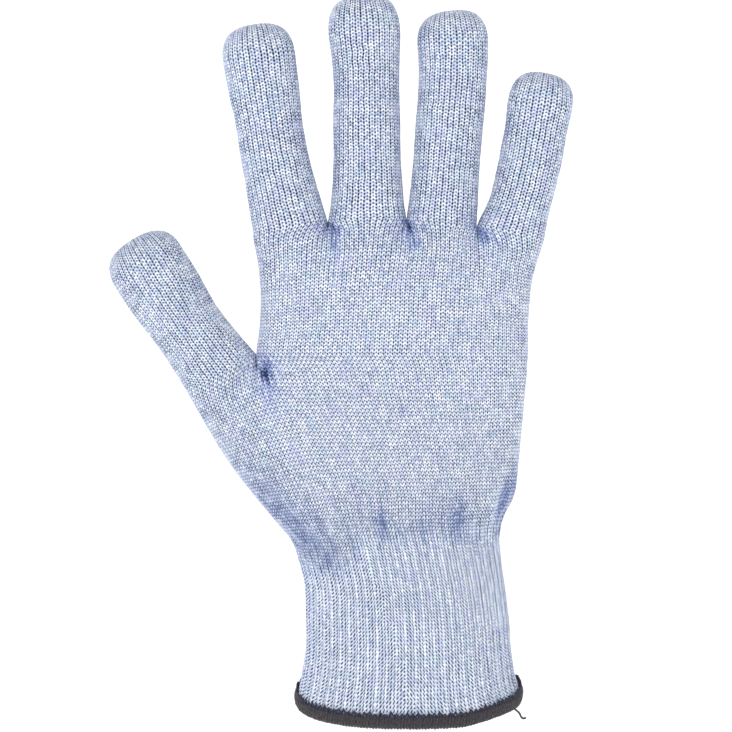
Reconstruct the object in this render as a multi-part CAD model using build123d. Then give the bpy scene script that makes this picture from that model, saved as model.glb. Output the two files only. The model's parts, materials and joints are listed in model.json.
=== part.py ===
from build123d import *
import os
from math import tan, radians

# A seamless knitted glove for the right hand, in the shape it has when worn, fingers up.
# Millimetres. +Z runs from the cuff's mouth to the fingertips, +X to the little finger's
# side, -Y is the back of the hand and +Y the palm. The origin is the middle of the mouth.

os.makedirs("parts", exist_ok=True)

# Driving dimensions
KNIT = 1.4              # wall of the knitted shell
CROTCH_Z = 160.0        # where the four fingers' tubes leave the hand
KNUCKLE_Z = 137.0       # fold line of the knuckle row
WRIST_Z = 54.0          # fold line of the wrist
CUFF_BOTTOM = 1.0       # the cuff's edge, inside the hem's wrap
HEM_HEIGHT = 4.4        # overlocked band round the mouth
HEM_PROUD = 0.7         # how far the band's thread stands off the knit on each side
ELASTIC_THREADS = 10    # elastic threads laid into the cuff's rib
ELASTIC_SIZE = 0.8      # thickness of one elastic thread
ELASTIC_GAP = 0.4       # between a thread and the rib's inner side
ELASTIC_BOTTOM = 6.4    # height of the lowest elastic thread
ELASTIC_TOP = 36.0      # height of the highest elastic thread
KNUCKLE_BEND = 45.0     # largest bend of the knuckle row, degrees
WRIST_PALM_BEND = 60.0  # largest bend of the wrist to the palm
WRIST_BACK_BEND = 50.0  # largest bend of the wrist to the back
APEX = 1.0              # a fold starts this far behind the middle of the depth
REACH = 70.0            # half size of the cutting prisms, past every surface
PAST_TIPS = 91.0        # a distance from the crotch line that no fingertip reaches
TUBE_OVERLAP = 3.0      # how far a finger's first stretch runs down into the hand
TIP_SWELL = 24.0        # length over which a finger swells towards its tip
THUMB_SPAN = 16.0       # half width of the cuts at the thumb's root, which miss the palm

# How a fingertip rounds off: distance from its end, share of the tip's half width
TIP_ROWS = [(10.0, 1.0), (5.5, 0.96), (2.8, 0.85), (1.0, 0.68), (0.0, 0.42)]

# Each row: height, left edge, right edge, depth, middle of the depth
HAND_ROWS = [
    (CROTCH_Z, -52.6, 46.2, 22.6, 0.0),
    (150.0, -51.6, 43.6, 24.6, 0.0),
    (KNUCKLE_Z, -50.7, 41.0, 27.0, 0.5),
    (117.0, -50.7, 39.5, 29.0, 1.0),
    (100.0, -49.5, 38.2, 31.0, 1.5),
    (80.0, -45.5, 36.5, 34.0, 1.5),
    (66.0, -41.5, 33.6, 38.0, 1.0),
    (56.0, -38.4, 30.8, 41.0, 0.5),
    (44.0, -35.8, 31.4, 42.0, 0.0),
    (30.0, -35.2, 33.0, 43.0, 0.0),
    (14.0, -35.4, 34.8, 45.0, 0.0),
    (6.0, -37.4, 37.4, 48.5, 0.0),
    (CUFF_BOTTOM, -38.6, 38.6, 50.0, 0.0),
    (-4.0, -38.6, 38.6, 50.0, 0.0),
]

# Each finger: x of its axis at the crotch line, lean to the little finger's side in degrees,
# length, half width at the root, along the middle and at the tip, half depth
FINGERS = {
    "index": (-39.9, -10.0, 69.6, 12.3, 11.5, 12.0, 9.8),
    "middle": (-14.4, -1.5, 77.4, 12.6, 11.5, 12.1, 9.9),
    "ring": (10.4, 3.0, 72.0, 11.8, 11.5, 11.8, 9.8),
    "little": (34.0, 12.7, 52.8, 11.1, 10.6, 10.9, 8.7),
}

# Heights of each finger's three hinges above the crotch line, and their largest bends in degrees
FINGER_HINGES = {
    "index": ((9.0, 30.0, 51.0), (45.0, 90.0, 55.0)),
    "middle": ((9.0, 32.5, 56.0), (45.0, 90.0, 55.0)),
    "ring": ((9.0, 30.5, 53.0), (45.0, 90.0, 55.0)),
    "little": ((9.0, 24.5, 41.0), (45.0, 75.0, 50.0)),
}

# The thumb: middle of its crotch line, lean, length, then rows along its axis from inside the
# hand to the tube: distance from the crotch line, half width, half depth, middle of the depth
THUMB_X = -62.1
THUMB_Z = 110.6
THUMB_LEAN = -32.5
THUMB_LENGTH = 53.6
THUMB_ROWS = [
    (-62.0, 10.4, 14.5, 1.0),
    (-42.0, 13.0, 15.0, 2.5),
    (-20.0, 13.2, 14.0, 2.5),
    (0.0, 12.6, 11.8, 1.0),
    (16.0, 12.2, 10.8, 0.0),
    (34.0, 12.2, 10.6, 0.0),
]
THUMB_TIP = (12.5, 10.6)
THUMB_HINGES = (8.0, 31.0)
THUMB_BENDS = (40.0, 60.0)

# A loose end of the overlock thread, just under the band at the right of the mouth
TAIL_ROUTE = [(34.0, -11.2, -0.6), (35.8, -11.5, -1.1), (36.9, -11.6, -2.5), (38.4, -11.5, -2.9)]
TAIL_SIZE = 1.0


def hand_solid(rows, inset):
    """The hand and cuff as one closed form, inset by the given wall."""
    outlines = []
    for height, left, right, depth, middle in rows:
        width = right - left - 2 * inset
        outline = SlotOverall(width, depth - 2 * inset)
        outlines.append(Pos((left + right) / 2, middle, height) * outline)
    return loft(outlines, ruled=True)


def tip_rows(length, half_width, half_depth, inset):
    """Rows that round a fingertip off, for the outside or for the inside of the knit."""
    rows = []
    for back, share in TIP_ROWS:
        height = length - back - inset
        rows.append((height, half_width * share - inset, half_depth * share - inset, 0.0))
    return rows


def finger_solid(place, rows, tip, length, inset):
    """A finger as a closed form of ellipses along its own axis, inset by the given wall."""
    rows = [(s, width - inset, depth - inset, middle) for s, width, depth, middle in rows]
    rows += tip_rows(length, tip[0], tip[1], inset)
    outlines = [Pos(0, middle, s) * Ellipse(width, depth) for s, width, depth, middle in rows]
    return place * loft(outlines, ruled=True)


def prism(place, outline, span=REACH):
    """A cutting body: an outline in depth and height, drawn out along the fold line."""
    face = make_face(Polyline(*outline, close=True))
    return place * extrude(Plane.YZ * face, span, both=True)


def slab(place, low, high, span=REACH):
    """Everything between two heights."""
    return prism(place, [(-REACH, low), (REACH, low), (REACH, high), (-REACH, high)], span)


def notch(place, height, bend, span=REACH):
    """The wedge on the palm's side that a fold takes up when it is bent as far as it goes."""
    rise = (REACH + APEX) * tan(radians(bend / 2))
    return prism(place, [(-APEX, height), (REACH, height + rise), (REACH, height - rise)], span)


def largest(shape):
    """The shape without the crumbs that a cut can leave."""
    return max(shape.solids(), key=lambda solid: solid.volume)


def save(name, shape):
    export_step(shape, "parts/" + name + ".step")


def cut_at_hinges(name, labels, shell, place, hinges, bends):
    """Cuts a finger's tube into its rigid lengths and the folds between them, and saves each."""
    folds = [notch(place, hinge, bend) for hinge, bend in zip(hinges, bends)]
    limits = [*hinges, PAST_TIPS]
    for index, label in enumerate(labels):
        save(name + "_" + label + "_fold", largest(shell & folds[index]))
        length = shell & slab(place, limits[index], limits[index + 1])
        for fold in folds[index:index + 2]:
            length = length - fold
        save(name + "_" + label, largest(length))


def finger_rows(root, middle, depth, length):
    """Rows of a finger's tube from just inside the hand to where its tip begins."""
    return [
        (-7.0, root, depth + 0.3, 0.0),
        (4.0, root - 0.2, depth + 0.1, 0.0),
        (18.0, middle, depth, 0.0),
        (length - TIP_SWELL, middle, depth, 0.0),
    ]


# The hand's closed forms, outside and inside, and the fingers' tubes
crotch = Pos(0, 0, CROTCH_Z)
hand_outside = hand_solid(HAND_ROWS[:-1], 0.0)
inside_rows = [(CROTCH_Z - KNIT, *HAND_ROWS[0][1:])] + HAND_ROWS[1:]
hand_inside = hand_solid(inside_rows, KNIT)

thumb_place = Pos(THUMB_X, 0, THUMB_Z) * Rot(0, THUMB_LEAN, 0)
thumb_outside = finger_solid(thumb_place, THUMB_ROWS, THUMB_TIP, THUMB_LENGTH, 0.0)
thumb_inside = finger_solid(thumb_place, THUMB_ROWS, THUMB_TIP, THUMB_LENGTH, KNIT)

tubes_outside = {}
tubes_inside = {}
for name, (x, lean, length, root, middle, tip, depth) in FINGERS.items():
    place = Pos(x, 0, CROTCH_Z) * Rot(0, lean, 0)
    rows = finger_rows(root, middle, depth, length)
    tubes_outside[name] = finger_solid(place, rows, (tip, depth), length, 0.0)
    tubes_inside[name] = finger_solid(place, rows, (tip, depth), length, KNIT)

# Fingers
for name, (hinges, bends) in FINGER_HINGES.items():
    tube = tubes_outside[name] - tubes_inside[name]
    cut_at_hinges(name + "_finger", ("base", "middle", "tip"), tube, crotch, hinges, bends)

# Thumb
thumb_tube = thumb_outside - thumb_inside
cut_at_hinges("thumb", ("base", "tip"), thumb_tube, thumb_place, THUMB_HINGES, THUMB_BENDS)

# Upper hand: the four-finger part above the knuckle fold, with the first stretch of each tube
root_hinges, root_bends = FINGER_HINGES["middle"]
root_hinge = CROTCH_Z + root_hinges[0]
origin = Pos(0, 0, 0)
hand_shell = hand_outside
for tube in tubes_outside.values():
    hand_shell = largest(hand_shell + largest(tube & slab(origin, CROTCH_Z - TUBE_OVERLAP, root_hinge)))
hand_shell = largest(hand_shell - hand_inside)
for tube in tubes_inside.values():
    hand_shell = largest(hand_shell - tube)

knuckle_fold = notch(origin, KNUCKLE_Z, KNUCKLE_BEND, 2 * REACH)
root_fold = notch(origin, root_hinge, root_bends[0], 2 * REACH)
upper_zone = slab(origin, KNUCKLE_Z, root_hinge, 2 * REACH)
save("upper_hand", largest((hand_shell & upper_zone) - knuckle_fold - root_fold))
save("knuckle_fold", largest(hand_shell & knuckle_fold))

# Lower hand: the five-finger part between wrist and knuckles, with the thumb's first stretch
palm_rise = REACH * tan(radians(WRIST_PALM_BEND / 2))
back_rise = REACH * tan(radians(WRIST_BACK_BEND / 2))
wrist_outline = [
    (0, WRIST_Z - APEX),
    (REACH, WRIST_Z - APEX - palm_rise),
    (REACH, WRIST_Z + APEX + palm_rise),
    (0, WRIST_Z + APEX),
    (-REACH, WRIST_Z + APEX + back_rise),
    (-REACH, WRIST_Z - APEX - back_rise),
]
wrist_zone = prism(origin, wrist_outline, 2 * REACH)
thumb_stub_zone = slab(thumb_place, -REACH, THUMB_HINGES[0], THUMB_SPAN)
thumb_root_fold = notch(thumb_place, THUMB_HINGES[0], THUMB_BENDS[0], THUMB_SPAN)
five_finger = largest(hand_outside + largest(thumb_outside & thumb_stub_zone))
five_finger = largest(largest(five_finger - hand_inside) - thumb_inside)
lower_zone = slab(origin, WRIST_Z, KNUCKLE_Z, 2 * REACH)
lower_hand = (five_finger & lower_zone) - wrist_zone - knuckle_fold - thumb_root_fold
save("lower_hand", largest(lower_hand))
save("wrist_fold", largest(five_finger & wrist_zone))

# Cuff: rib knit from the wrist fold down to the hem
cuff_zone = slab(origin, CUFF_BOTTOM, WRIST_Z, 2 * REACH)
cuff_rib = largest((five_finger & cuff_zone) - wrist_zone)
save("cuff_rib", cuff_rib)


def cuff_outline(height, inset):
    """The cuff's outline at a height, between the rows of the hand above and below it."""
    below = max((row for row in HAND_ROWS if row[0] <= height), key=lambda row: row[0])
    above = min((row for row in HAND_ROWS if row[0] > height), key=lambda row: row[0])
    share = (height - below[0]) / (above[0] - below[0])
    left, right, depth, middle = (a + (b - a) * share for a, b in zip(below[1:], above[1:]))
    outline = SlotOverall(right - left - 2 * inset, depth - 2 * inset)
    return Pos((left + right) / 2, middle, height) * outline


# Elastic threads: closed rings just inside the rib
threads = []
for index in range(ELASTIC_THREADS):
    height = ELASTIC_BOTTOM + index * (ELASTIC_TOP - ELASTIC_BOTTOM) / (ELASTIC_THREADS - 1)
    inset = KNIT + ELASTIC_GAP
    ring = cuff_outline(height, inset) - cuff_outline(height, inset + ELASTIC_SIZE)
    threads.append(extrude(ring, ELASTIC_SIZE))
save("cuff_elastic_threads", Compound(children=threads))

# Hem: overlock thread wrapped round the cuff's edge
hem_rows = HAND_ROWS[-3:]
hem_outside = hand_solid(hem_rows, -HEM_PROUD)
hem_inside = hand_solid(hem_rows, KNIT + HEM_PROUD)
hem = (hem_outside - hem_inside) & slab(origin, 0.0, HEM_HEIGHT, 2 * REACH)
save("hem_overlock_band", largest(hem - cuff_rib))

# Loose end of the hem's thread, and the radius of each of its bends
tail_points = [Vector(*point) for point in TAIL_ROUTE]
tail_radii = []
for before, at, after in zip(tail_points, tail_points[1:], tail_points[2:]):
    turn = (at - before).get_angle(after - at)
    shorter_run = min((at - before).length, (after - at).length)
    tail_radii.append(0.45 * shorter_run / tan(radians(turn / 2)))
print("thread tail radii", [round(radius, 1) for radius in tail_radii])
tail_path = FilletPolyline(*tail_points, radius=tail_radii)
tail_section = Plane(tail_points[0], z_dir=tail_points[1] - tail_points[0]) * Circle(TAIL_SIZE / 2)
tail = sweep(tail_section, path=tail_path)
print("thread tail length", round(tail_path.length, 1), "volume", round(tail.volume, 2))
save("hem_thread_tail", tail)
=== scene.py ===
import json
import math

import bpy
import numpy as np
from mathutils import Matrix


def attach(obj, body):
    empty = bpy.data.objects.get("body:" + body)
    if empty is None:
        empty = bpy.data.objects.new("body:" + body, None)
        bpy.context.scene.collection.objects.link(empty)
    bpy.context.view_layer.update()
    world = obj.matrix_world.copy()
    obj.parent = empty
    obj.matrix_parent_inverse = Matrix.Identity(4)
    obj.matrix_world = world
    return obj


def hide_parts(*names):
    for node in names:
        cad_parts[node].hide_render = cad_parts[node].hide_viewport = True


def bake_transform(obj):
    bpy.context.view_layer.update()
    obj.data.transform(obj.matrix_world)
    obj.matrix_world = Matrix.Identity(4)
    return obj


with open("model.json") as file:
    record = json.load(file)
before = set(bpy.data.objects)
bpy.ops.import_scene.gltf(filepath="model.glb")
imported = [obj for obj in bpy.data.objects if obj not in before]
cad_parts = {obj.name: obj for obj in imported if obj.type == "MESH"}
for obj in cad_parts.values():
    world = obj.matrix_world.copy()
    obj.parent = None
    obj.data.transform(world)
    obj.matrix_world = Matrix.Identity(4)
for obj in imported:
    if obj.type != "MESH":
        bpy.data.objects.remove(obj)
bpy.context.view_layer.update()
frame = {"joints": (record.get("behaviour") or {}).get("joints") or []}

# The glove is drawn as its knit is made: every stitch has its own place in a grid of wales
# (columns of stitches) and courses (rows). All sizes below are in millimetres, in the frame's
# axes: +Z to the fingertips, +X to the little finger, -Y the back of the hand.
MM = 0.001
UP = np.array([0.0, 0.0, 1.0])
SUB = 4                 # mesh columns, and mesh rows, in one stitch
WALL = 1.1              # from the middle of the outer relief to the inner face
RELIEF = 0.62           # height of a leg of a stitch above the gap beside it
RIB_RELIEF = 0.7        # height of a rib's crown above its trough
RIB_WALES = 3           # wales in one rib of the cuff
RIB_FLIP = (10.5, 0.1)  # ribs on the thumb's side that lean one way, and how many more each course
RIB_FROM = 95           # the course that the first of these counts from
RIB_START = 91          # the course where the rib starts at the thumb's side

THUMB_WALES = 21        # wales across one face of the thumb
HAND_WALES = 66         # and of the four-finger hand
LOWER_WALES = THUMB_WALES + HAND_WALES

HAND_COURSES = 37       # courses from the finger crotches down to the thumb's crotch
LOWER_COURSES = 56      # from there to the top of the cuff
CUFF_COURSES = 42       # from there to the hem
WRIST_SPLIT = 32        # courses of the lower hand above the stretch that bends at the wrist
FINGER_PITCH = 1.13     # height of one course of a finger
HAND_PITCH = 1.18       # and of the hand
CUFF_TOP = 50.0         # height of the top of the cuff

TIP_HEIGHT = 12.0       # how much of a finger's length its rounded tip takes
TIP_RIDGE = 0.62        # share of a finger's width that is left at the top, where its knit closes
TIP_POWER = 2.7         # how square the tip's outline is: 2 is round
TIP_ARC = 1.42          # length of the tip's curve for each millimetre of its height
CROTCH_SWELL = 0.5      # how much deeper a tube is where it joins the hand
HEM_MIDDLE = 3.4        # height of the middle of the hem at the sides of the mouth
HEM_TILT = 0.205        # how far the hem drops, for each millimetre towards the back of the hand
HEM_BACK_RISE = 2.4     # how far it rises under the palm
HEM_CORNER_LIFT = 1.7   # how much higher it stands at the little finger's side


def through(points):
    """A smooth curve through a few (place, value) points, level past both ends."""
    places, values = np.array(points, float).T
    slopes = np.gradient(values, places)

    def curve(place):
        place = np.clip(place, places[0], places[-1])
        i = np.clip(np.searchsorted(places, place, side="right") - 1, 0, len(places) - 2)
        gap = places[i + 1] - places[i]
        t = (place - places[i]) / gap
        rise = (1 + 2 * t) * (1 - t) ** 2 * values[i] + t * t * (3 - 2 * t) * values[i + 1]
        return rise + gap * t * (1 - t) * ((1 - t) * slopes[i] - t * slopes[i + 1])

    return curve


def smooth(t):
    """Nought to one, level at both ends."""
    t = np.clip(t, 0, 1)
    return t * t * (3 - 2 * t)


def wave(turns):
    """A cosine from nought to one, with a crest at every whole turn."""
    return 0.5 + 0.5 * np.cos(2 * np.pi * turns)


def arch(across, power, sharpness=1.0):
    """A rounded arch, from nought at -1 and 1 to one in the middle."""
    return np.maximum(1 - np.abs(across) ** power, 0) ** (sharpness / power)


def running(steps):
    """How far along a row of steps each point is, from nought."""
    return np.concatenate([[0], np.cumsum(steps)])


def unit(vectors):
    """The same directions, one long."""
    return vectors / np.maximum(np.linalg.norm(vectors, axis=-1, keepdims=True), 1e-9)


def soft_noise(rows, columns, row_size, column_size, seed):
    """Smooth noise from -1 to 1 on a grid whose columns close into a ring."""
    tall = max(2, int(rows / row_size) + 2)
    wide = max(3, int(columns / column_size))
    cells = np.random.default_rng(seed).uniform(-1, 1, (tall, wide))
    y = np.linspace(0, tall - 1.001, rows)
    x = np.arange(columns) * wide / columns
    i, j = y.astype(int), x.astype(int)
    ty, tx = smooth(y - i)[:, None], smooth(x - j)[None, :]
    right = (j + 1) % wide
    upper = cells[i][:, j] * (1 - tx) + cells[i][:, right] * tx
    lower = cells[i + 1][:, j] * (1 - tx) + cells[i + 1][:, right] * tx
    return upper * (1 - ty) + lower * ty


# ---- outlines of the worn glove

# Where the sides of the hand and cuff stand, from the fingers down to the hem
LEFT_SIDE = through([
    (2.0, -37.6), (8.7, -36.0), (15.4, -34.8), (30.0, -34.4), (42.0, -34.9), (48.8, -36.7),
    (55.4, -39.3), (62.1, -44.9), (70.0, -51.6), (77.0, -57.0), (88.8, -64.9), (104.6, -74.0),
])
INDEX_SIDE = through([(117.5, -51.3), (129.0, -49.9), (142.0, -50.0), (157.5, -52.2)])
RIGHT_SIDE = through([
    (2.0, 36.9), (8.7, 34.6), (15.4, 33.6), (30.0, 32.5), (42.0, 30.9), (50.0, 29.9),
    (57.0, 29.4), (63.5, 30.9), (70.0, 34.3), (82.0, 36.2), (102.0, 37.9), (117.5, 39.2),
    (129.0, 39.4), (142.0, 40.8), (155.3, 44.6),
])
# Half depth to the back of the hand and to the palm, by height
BACK_DEPTH = through([
    (2.0, 24.6), (15.0, 22.0), (35.0, 20.6), (52.0, 19.6), (70.0, 17.2), (95.0, 14.4),
    (117.5, 13.3), (137.0, 12.6), (150.0, 11.6), (160.0, 10.8),
])
PALM_DEPTH = through([
    (2.0, 24.6), (15.0, 22.2), (35.0, 21.0), (52.0, 20.2), (70.0, 19.0), (95.0, 17.0),
    (117.5, 15.0), (137.0, 13.6), (150.0, 12.0), (160.0, 11.0),
])
HAND_POWER = 2.35       # 2 is an ellipse; a little more is a flatter back with rounder sides

# The line of the finger crotches, from the index finger's side to the little finger's
CROTCH_LINE = [(-52.2, 157.5), (-27.4, 161.8), (-1.2, 162.8), (22.3, 160.5), (44.6, 155.3)]
THUMB_LINE = [(-74.0, 104.6), (-51.3, 117.5)]

# Each finger: wales across, length, half depth, its lean in degrees along its length, and its
# half width at a few distances from the crotch line
FINGERS = {
    "index": dict(
        wales=17, length=69.1, depth=8.9, line=CROTCH_LINE[0:2],
        leans=[(0, -15.5), (0.2, -12.5), (0.45, -9.2), (0.8, -8.6), (1, -8.6)],
        widths=[(0, 12.5), (5, 12.1), (10, 11.75), (20, 11.2), (34, 11.0), (48, 11.6), (57, 11.9)]),
    "middle": dict(
        wales=17, length=75.0, depth=9.0, line=CROTCH_LINE[1:3],
        leans=[(0, 0.6), (0.3, -0.6), (0.6, -0.6), (0.8, -3.4), (1, -5.0)],
        widths=[(0, 13.1), (4, 12.3), (10, 11.6), (23, 11.0), (35, 11.0), (50, 10.9), (62, 11.8)]),
    "ring": dict(
        wales=17, length=70.7, depth=8.9, line=CROTCH_LINE[2:4],
        leans=[(0, 4.6), (0.3, 4.4), (0.55, 5.0), (0.78, -0.6), (1, -6.5)],
        widths=[(0, 11.75), (5, 11.4), (12, 11.1), (24, 11.0), (38, 11.2), (48, 11.2), (58, 11.7)]),
    "little": dict(
        wales=15, length=54.8, depth=8.0, line=CROTCH_LINE[3:5],
        leans=[(0, 19.0), (0.25, 15.4), (0.5, 10.6), (0.75, 9.6), (1, 11.5)],
        widths=[(0, 11.4), (4, 10.8), (9, 10.2), (18, 10.1), (28, 10.2), (36, 10.2), (44, 10.8)]),
}
THUMB = dict(
    wales=THUMB_WALES, length=53.9, depth=9.8, line=THUMB_LINE,
    leans=[(0, -38.0), (0.35, -35.0), (0.7, -32.5), (1, -32.0)],
    widths=[(0, 13.05), (8, 12.2), (18, 11.8), (28, 12.3), (36, 12.9), (44, 12.9)])


# ---- grids of the knit's surface

def even_shares(shares, half_width, half_depth, power):
    """Places from -1 to 1 across a half ring, at even distances along its curve."""
    angle = np.linspace(0, math.pi, 721)
    across = -np.cos(angle)
    out = arch(across, power)
    run = running(np.hypot(np.diff(across) * half_width, np.diff(out) * half_depth))
    return np.interp(shares, run / run[-1], across)


def finger_grid(plan):
    """The surface of one finger's tube, from its tip's ridge down to its crotch line."""
    (x0, z0), (x1, z1) = plan["line"]
    wales = plan["wales"]
    length = plan["length"]
    line_tilt = -math.atan2(z1 - z0, x1 - x0)
    leans = through(plan["leans"])
    widths = through(plan["widths"])
    body = length - TIP_HEIGHT
    arc = TIP_ARC * TIP_HEIGHT
    courses = round((body + arc) / FINGER_PITCH)
    run = np.linspace(body + arc, 0, courses * SUB + 1)

    fine = np.linspace(0, length, 400)
    lean = np.radians(leans(fine / length))
    tilt = line_tilt + (lean - line_tilt) * smooth(fine / 14)
    step = fine[1] - fine[0]
    centre_x = (x0 + x1) / 2 + running(np.sin(lean[:-1]) * step)
    centre_z = (z0 + z1) / 2 + running(np.cos(lean[:-1]) * step)

    front = even_shares(np.arange(wales * SUB) / (wales * SUB), widths(length / 2), plan["depth"], 2.0)
    theta = np.arccos(-front)
    theta = np.concatenate([theta, theta + np.pi])
    turn = np.clip((run - body) / arc, 0, 1) * math.pi / 2
    narrow = TIP_RIDGE + (1 - TIP_RIDGE) * np.cos(turn)
    half_width = widths(np.minimum(run, body)) * narrow
    half_depth = (plan["depth"] + CROTCH_SWELL * np.exp(-run / 6)) * np.cos(turn)
    drop = TIP_HEIGHT * (np.sin(turn) - (1 - narrow ** TIP_POWER) ** (1 / TIP_POWER))
    along = (np.minimum(run, body) + TIP_HEIGHT * np.sin(turn))[:, None]
    along = along - drop[:, None] * np.abs(np.cos(theta))[None, :] ** 2.6
    here_x = np.interp(along, fine, centre_x)
    here_z = np.interp(along, fine, centre_z)
    tilt = np.interp(along, fine, tilt)
    side = -half_width[:, None] * np.cos(theta)[None, :]
    out = -half_depth[:, None] * np.sin(theta)[None, :]
    return np.stack([here_x + side * np.cos(tilt), out, here_z - side * np.sin(tilt)], axis=-1)


def lay(grid, row, points, side):
    """Puts one face's points in a row of a ring: the back's in order, then the palm's in reverse."""
    half = grid.shape[1] // 2
    if side < 0:
        grid[row, :half + 1] = points
    else:
        grid[row, half + 1:] = points[1:-1][::-1]


def tube_lobe(plan):
    """A tube as the hand below it takes it up."""
    return dict(wales=plan["wales"], power=2.0, depth=(plan["depth"] + CROTCH_SWELL,) * 2)


def hand_grid(courses, wales, ends, spine, crotches, lobes, reach):
    """The surface of a stretch of the hand, from a line of crotches down.

    ends and spine give a row's two ends and its height along x. crotches gives the x of the
    lines that run down from the crotches, and lobes are the tubes between them, each with its
    wales, its half depths and the power of its outline. reach says how far down the valleys
    under the crotches go, and how far the wales keep to the tubes they came from.
    """
    rows = courses * SUB + 1
    shares = np.arange(wales * SUB + 1) / (wales * SUB)
    wale = shares * wales
    grid = np.zeros((rows, 2 * wales * SUB, 3))
    closing = (1 - np.cos(np.pi * np.linspace(0, 1, 601))) / 2     # closer together at the ends
    starts = running([lobe["wales"] for lobe in lobes])
    for row in range(rows):
        share = row / (rows - 1)
        (left, left_z), (right, right_z) = ends(share)
        xs = left + (right - left) * closing
        zs = spine(xs, share)
        run = running(np.hypot(np.diff(xs), np.diff(zs)))
        total = run[-1]
        below = share * courses * HAND_PITCH
        edges = [0.0] + [np.interp(x, xs, run) for x in crotches(share)] + [total]
        valley = np.clip(1 - below / reach[0], 0, 1) ** 2
        softness = 1 + 1.2 * smooth(below / 6)
        spread = 1 - smooth(below / reach[1])
        height = (left_z + right_z) / 2
        for side, depth in ((-1, BACK_DEPTH(height)), (1, PALM_DEPTH(height))):
            def outline(place):
                """How far the knit stands out at places along the row."""
                hull = depth * arch(2 * place / total - 1, HAND_POWER)
                out = hull.copy()
                for lobe, low, high in zip(lobes, edges, edges[1:]):
                    inside = (place >= low) & (place <= high)
                    across = 2 * (place[inside] - low) / (high - low) - 1
                    outer = (across < 0) & (low == 0) | (across > 0) & (high == total)
                    bulge = arch(across, lobe["power"], np.where(outer, 1, softness))
                    out[inside] = hull[inside] + valley * (lobe["depth"][side > 0] * bulge - hull[inside])
                return out

            stretches = [low + (high - low) * closing for low, high in zip(edges, edges[1:])]
            places = np.unique(np.concatenate(stretches))
            way = running(np.hypot(np.diff(places), np.diff(outline(places))))
            under = np.interp(wale, starts, np.interp(edges, places, way))
            even = shares * way[-1]
            place = np.interp(even + spread * (under - even), way, places)
            points = [np.interp(place, run, xs), side * outline(place), np.interp(place, run, zs)]
            lay(grid, row, np.stack(points, axis=-1), side)
    return grid


def upper_hand_grid():
    """From the finger crotches down to the thumb's crotch."""
    line_x, line_z = np.array(CROTCH_LINE).T
    low = THUMB_LINE[1][1]

    def ends(share):
        left_z = line_z[0] + (low - line_z[0]) * share
        right_z = line_z[-1] + (low - line_z[-1]) * share
        return (INDEX_SIDE(left_z), left_z), (RIGHT_SIDE(right_z), right_z)

    def spine(xs, share):
        across = line_x[0] + (line_x[-1] - line_x[0]) * (xs - xs[0]) / (xs[-1] - xs[0])
        straight = np.interp(across, line_x, line_z)
        kernel = min(share * 4, 1)
        curve = np.polyval(np.polyfit(line_x, line_z, 2), across)
        top = straight + kernel * (curve - straight)
        return top + (low - top) * share

    lobes = [tube_lobe(plan) for plan in FINGERS.values()]
    return hand_grid(HAND_COURSES, HAND_WALES, ends, spine, lambda share: line_x[1:-1], lobes, (15.0, 26.0))


def lower_hand_grid():
    """From the thumb's crotch down to the top of the cuff."""
    (left_x, left_top), (crotch_x, right_top) = THUMB_LINE
    crotch_end = -22.0

    def crotch(share):
        return crotch_x + (crotch_end - crotch_x) * smooth(share)

    def crotches(share):
        return [crotch(share)]

    def ends(share):
        left_z = left_top + (CUFF_TOP - left_top) * share
        right_z = right_top + (CUFF_TOP - right_top) * share
        return (LEFT_SIDE(left_z), left_z), (RIGHT_SIDE(right_z), right_z)

    def spine(xs, share):
        (left, left_z), (right, right_z) = ends(share)
        bend = crotch(share)
        width = 0.4 + 22.0 * share
        fall = (bend - xs + np.sqrt((bend - xs) ** 2 + width ** 2)) / 2
        fall = fall - fall[-1]
        return right_z - (right_z - left_z) * fall / fall[0]

    depths = (BACK_DEPTH(right_top), PALM_DEPTH(right_top))
    lobes = [tube_lobe(THUMB), dict(wales=HAND_WALES, power=HAND_POWER, depth=depths)]
    return hand_grid(LOWER_COURSES, LOWER_WALES, ends, spine, crotches, lobes, (20.0, 52.0))


def hem_height(x, out):
    """How far the hem stands above its middle height, round the mouth."""
    rise = np.where(out < 0, HEM_TILT * out, HEM_BACK_RISE * (1 - np.exp(-np.maximum(out, 0) / 9)))
    return rise + HEM_CORNER_LIFT * smooth((x - 14) / 18)


def cuff_grid():
    """From the top of the cuff down to the middle of the hem."""
    rows = CUFF_COURSES * SUB + 1
    shares = np.arange(LOWER_WALES * SUB + 1) / (LOWER_WALES * SUB)
    grid = np.zeros((rows, 2 * LOWER_WALES * SUB, 3))
    for row in range(rows):
        share = row / (rows - 1)
        level = CUFF_TOP + (HEM_MIDDLE - CUFF_TOP) * share
        left, right = LEFT_SIDE(level), RIGHT_SIDE(level)
        for side, depth in ((-1, BACK_DEPTH(level)), (1, PALM_DEPTH(level))):
            across = even_shares(shares, (right - left) / 2, depth, HAND_POWER)
            out = side * depth * arch(across, HAND_POWER)
            x = (left + right) / 2 + (right - left) / 2 * across
            lay(grid, row, np.stack([x, out, level + hem_height(x, out) * share ** 1.5], axis=-1), side)
    return grid


def normals_of(grid):
    """Outward normals of a grid whose columns close into a ring."""
    across = np.roll(grid, -1, axis=1) - np.roll(grid, 1, axis=1)
    down = np.gradient(grid, axis=0)
    return unit(np.cross(down, across))


# ---- relief of the stitches

def plain_height(wale, course, taut):
    """Height of a plain stitch's yarn, from nought in the gaps to one on the legs."""
    slant = np.abs((wale % 1) - 0.5) * 2
    line = wave(course - 0.5 * slant)
    beat = np.cos(2 * np.pi * wale)
    gap = np.abs(beat) ** 1.5 * (0.87 + 0.13 * beat)
    low = 0.24 - 0.18 * taut
    return 1 - (1 - line) ** (1 - (0.3 + 0.2 * taut) * beat) * (low + (1 - low) * gap)


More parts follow.
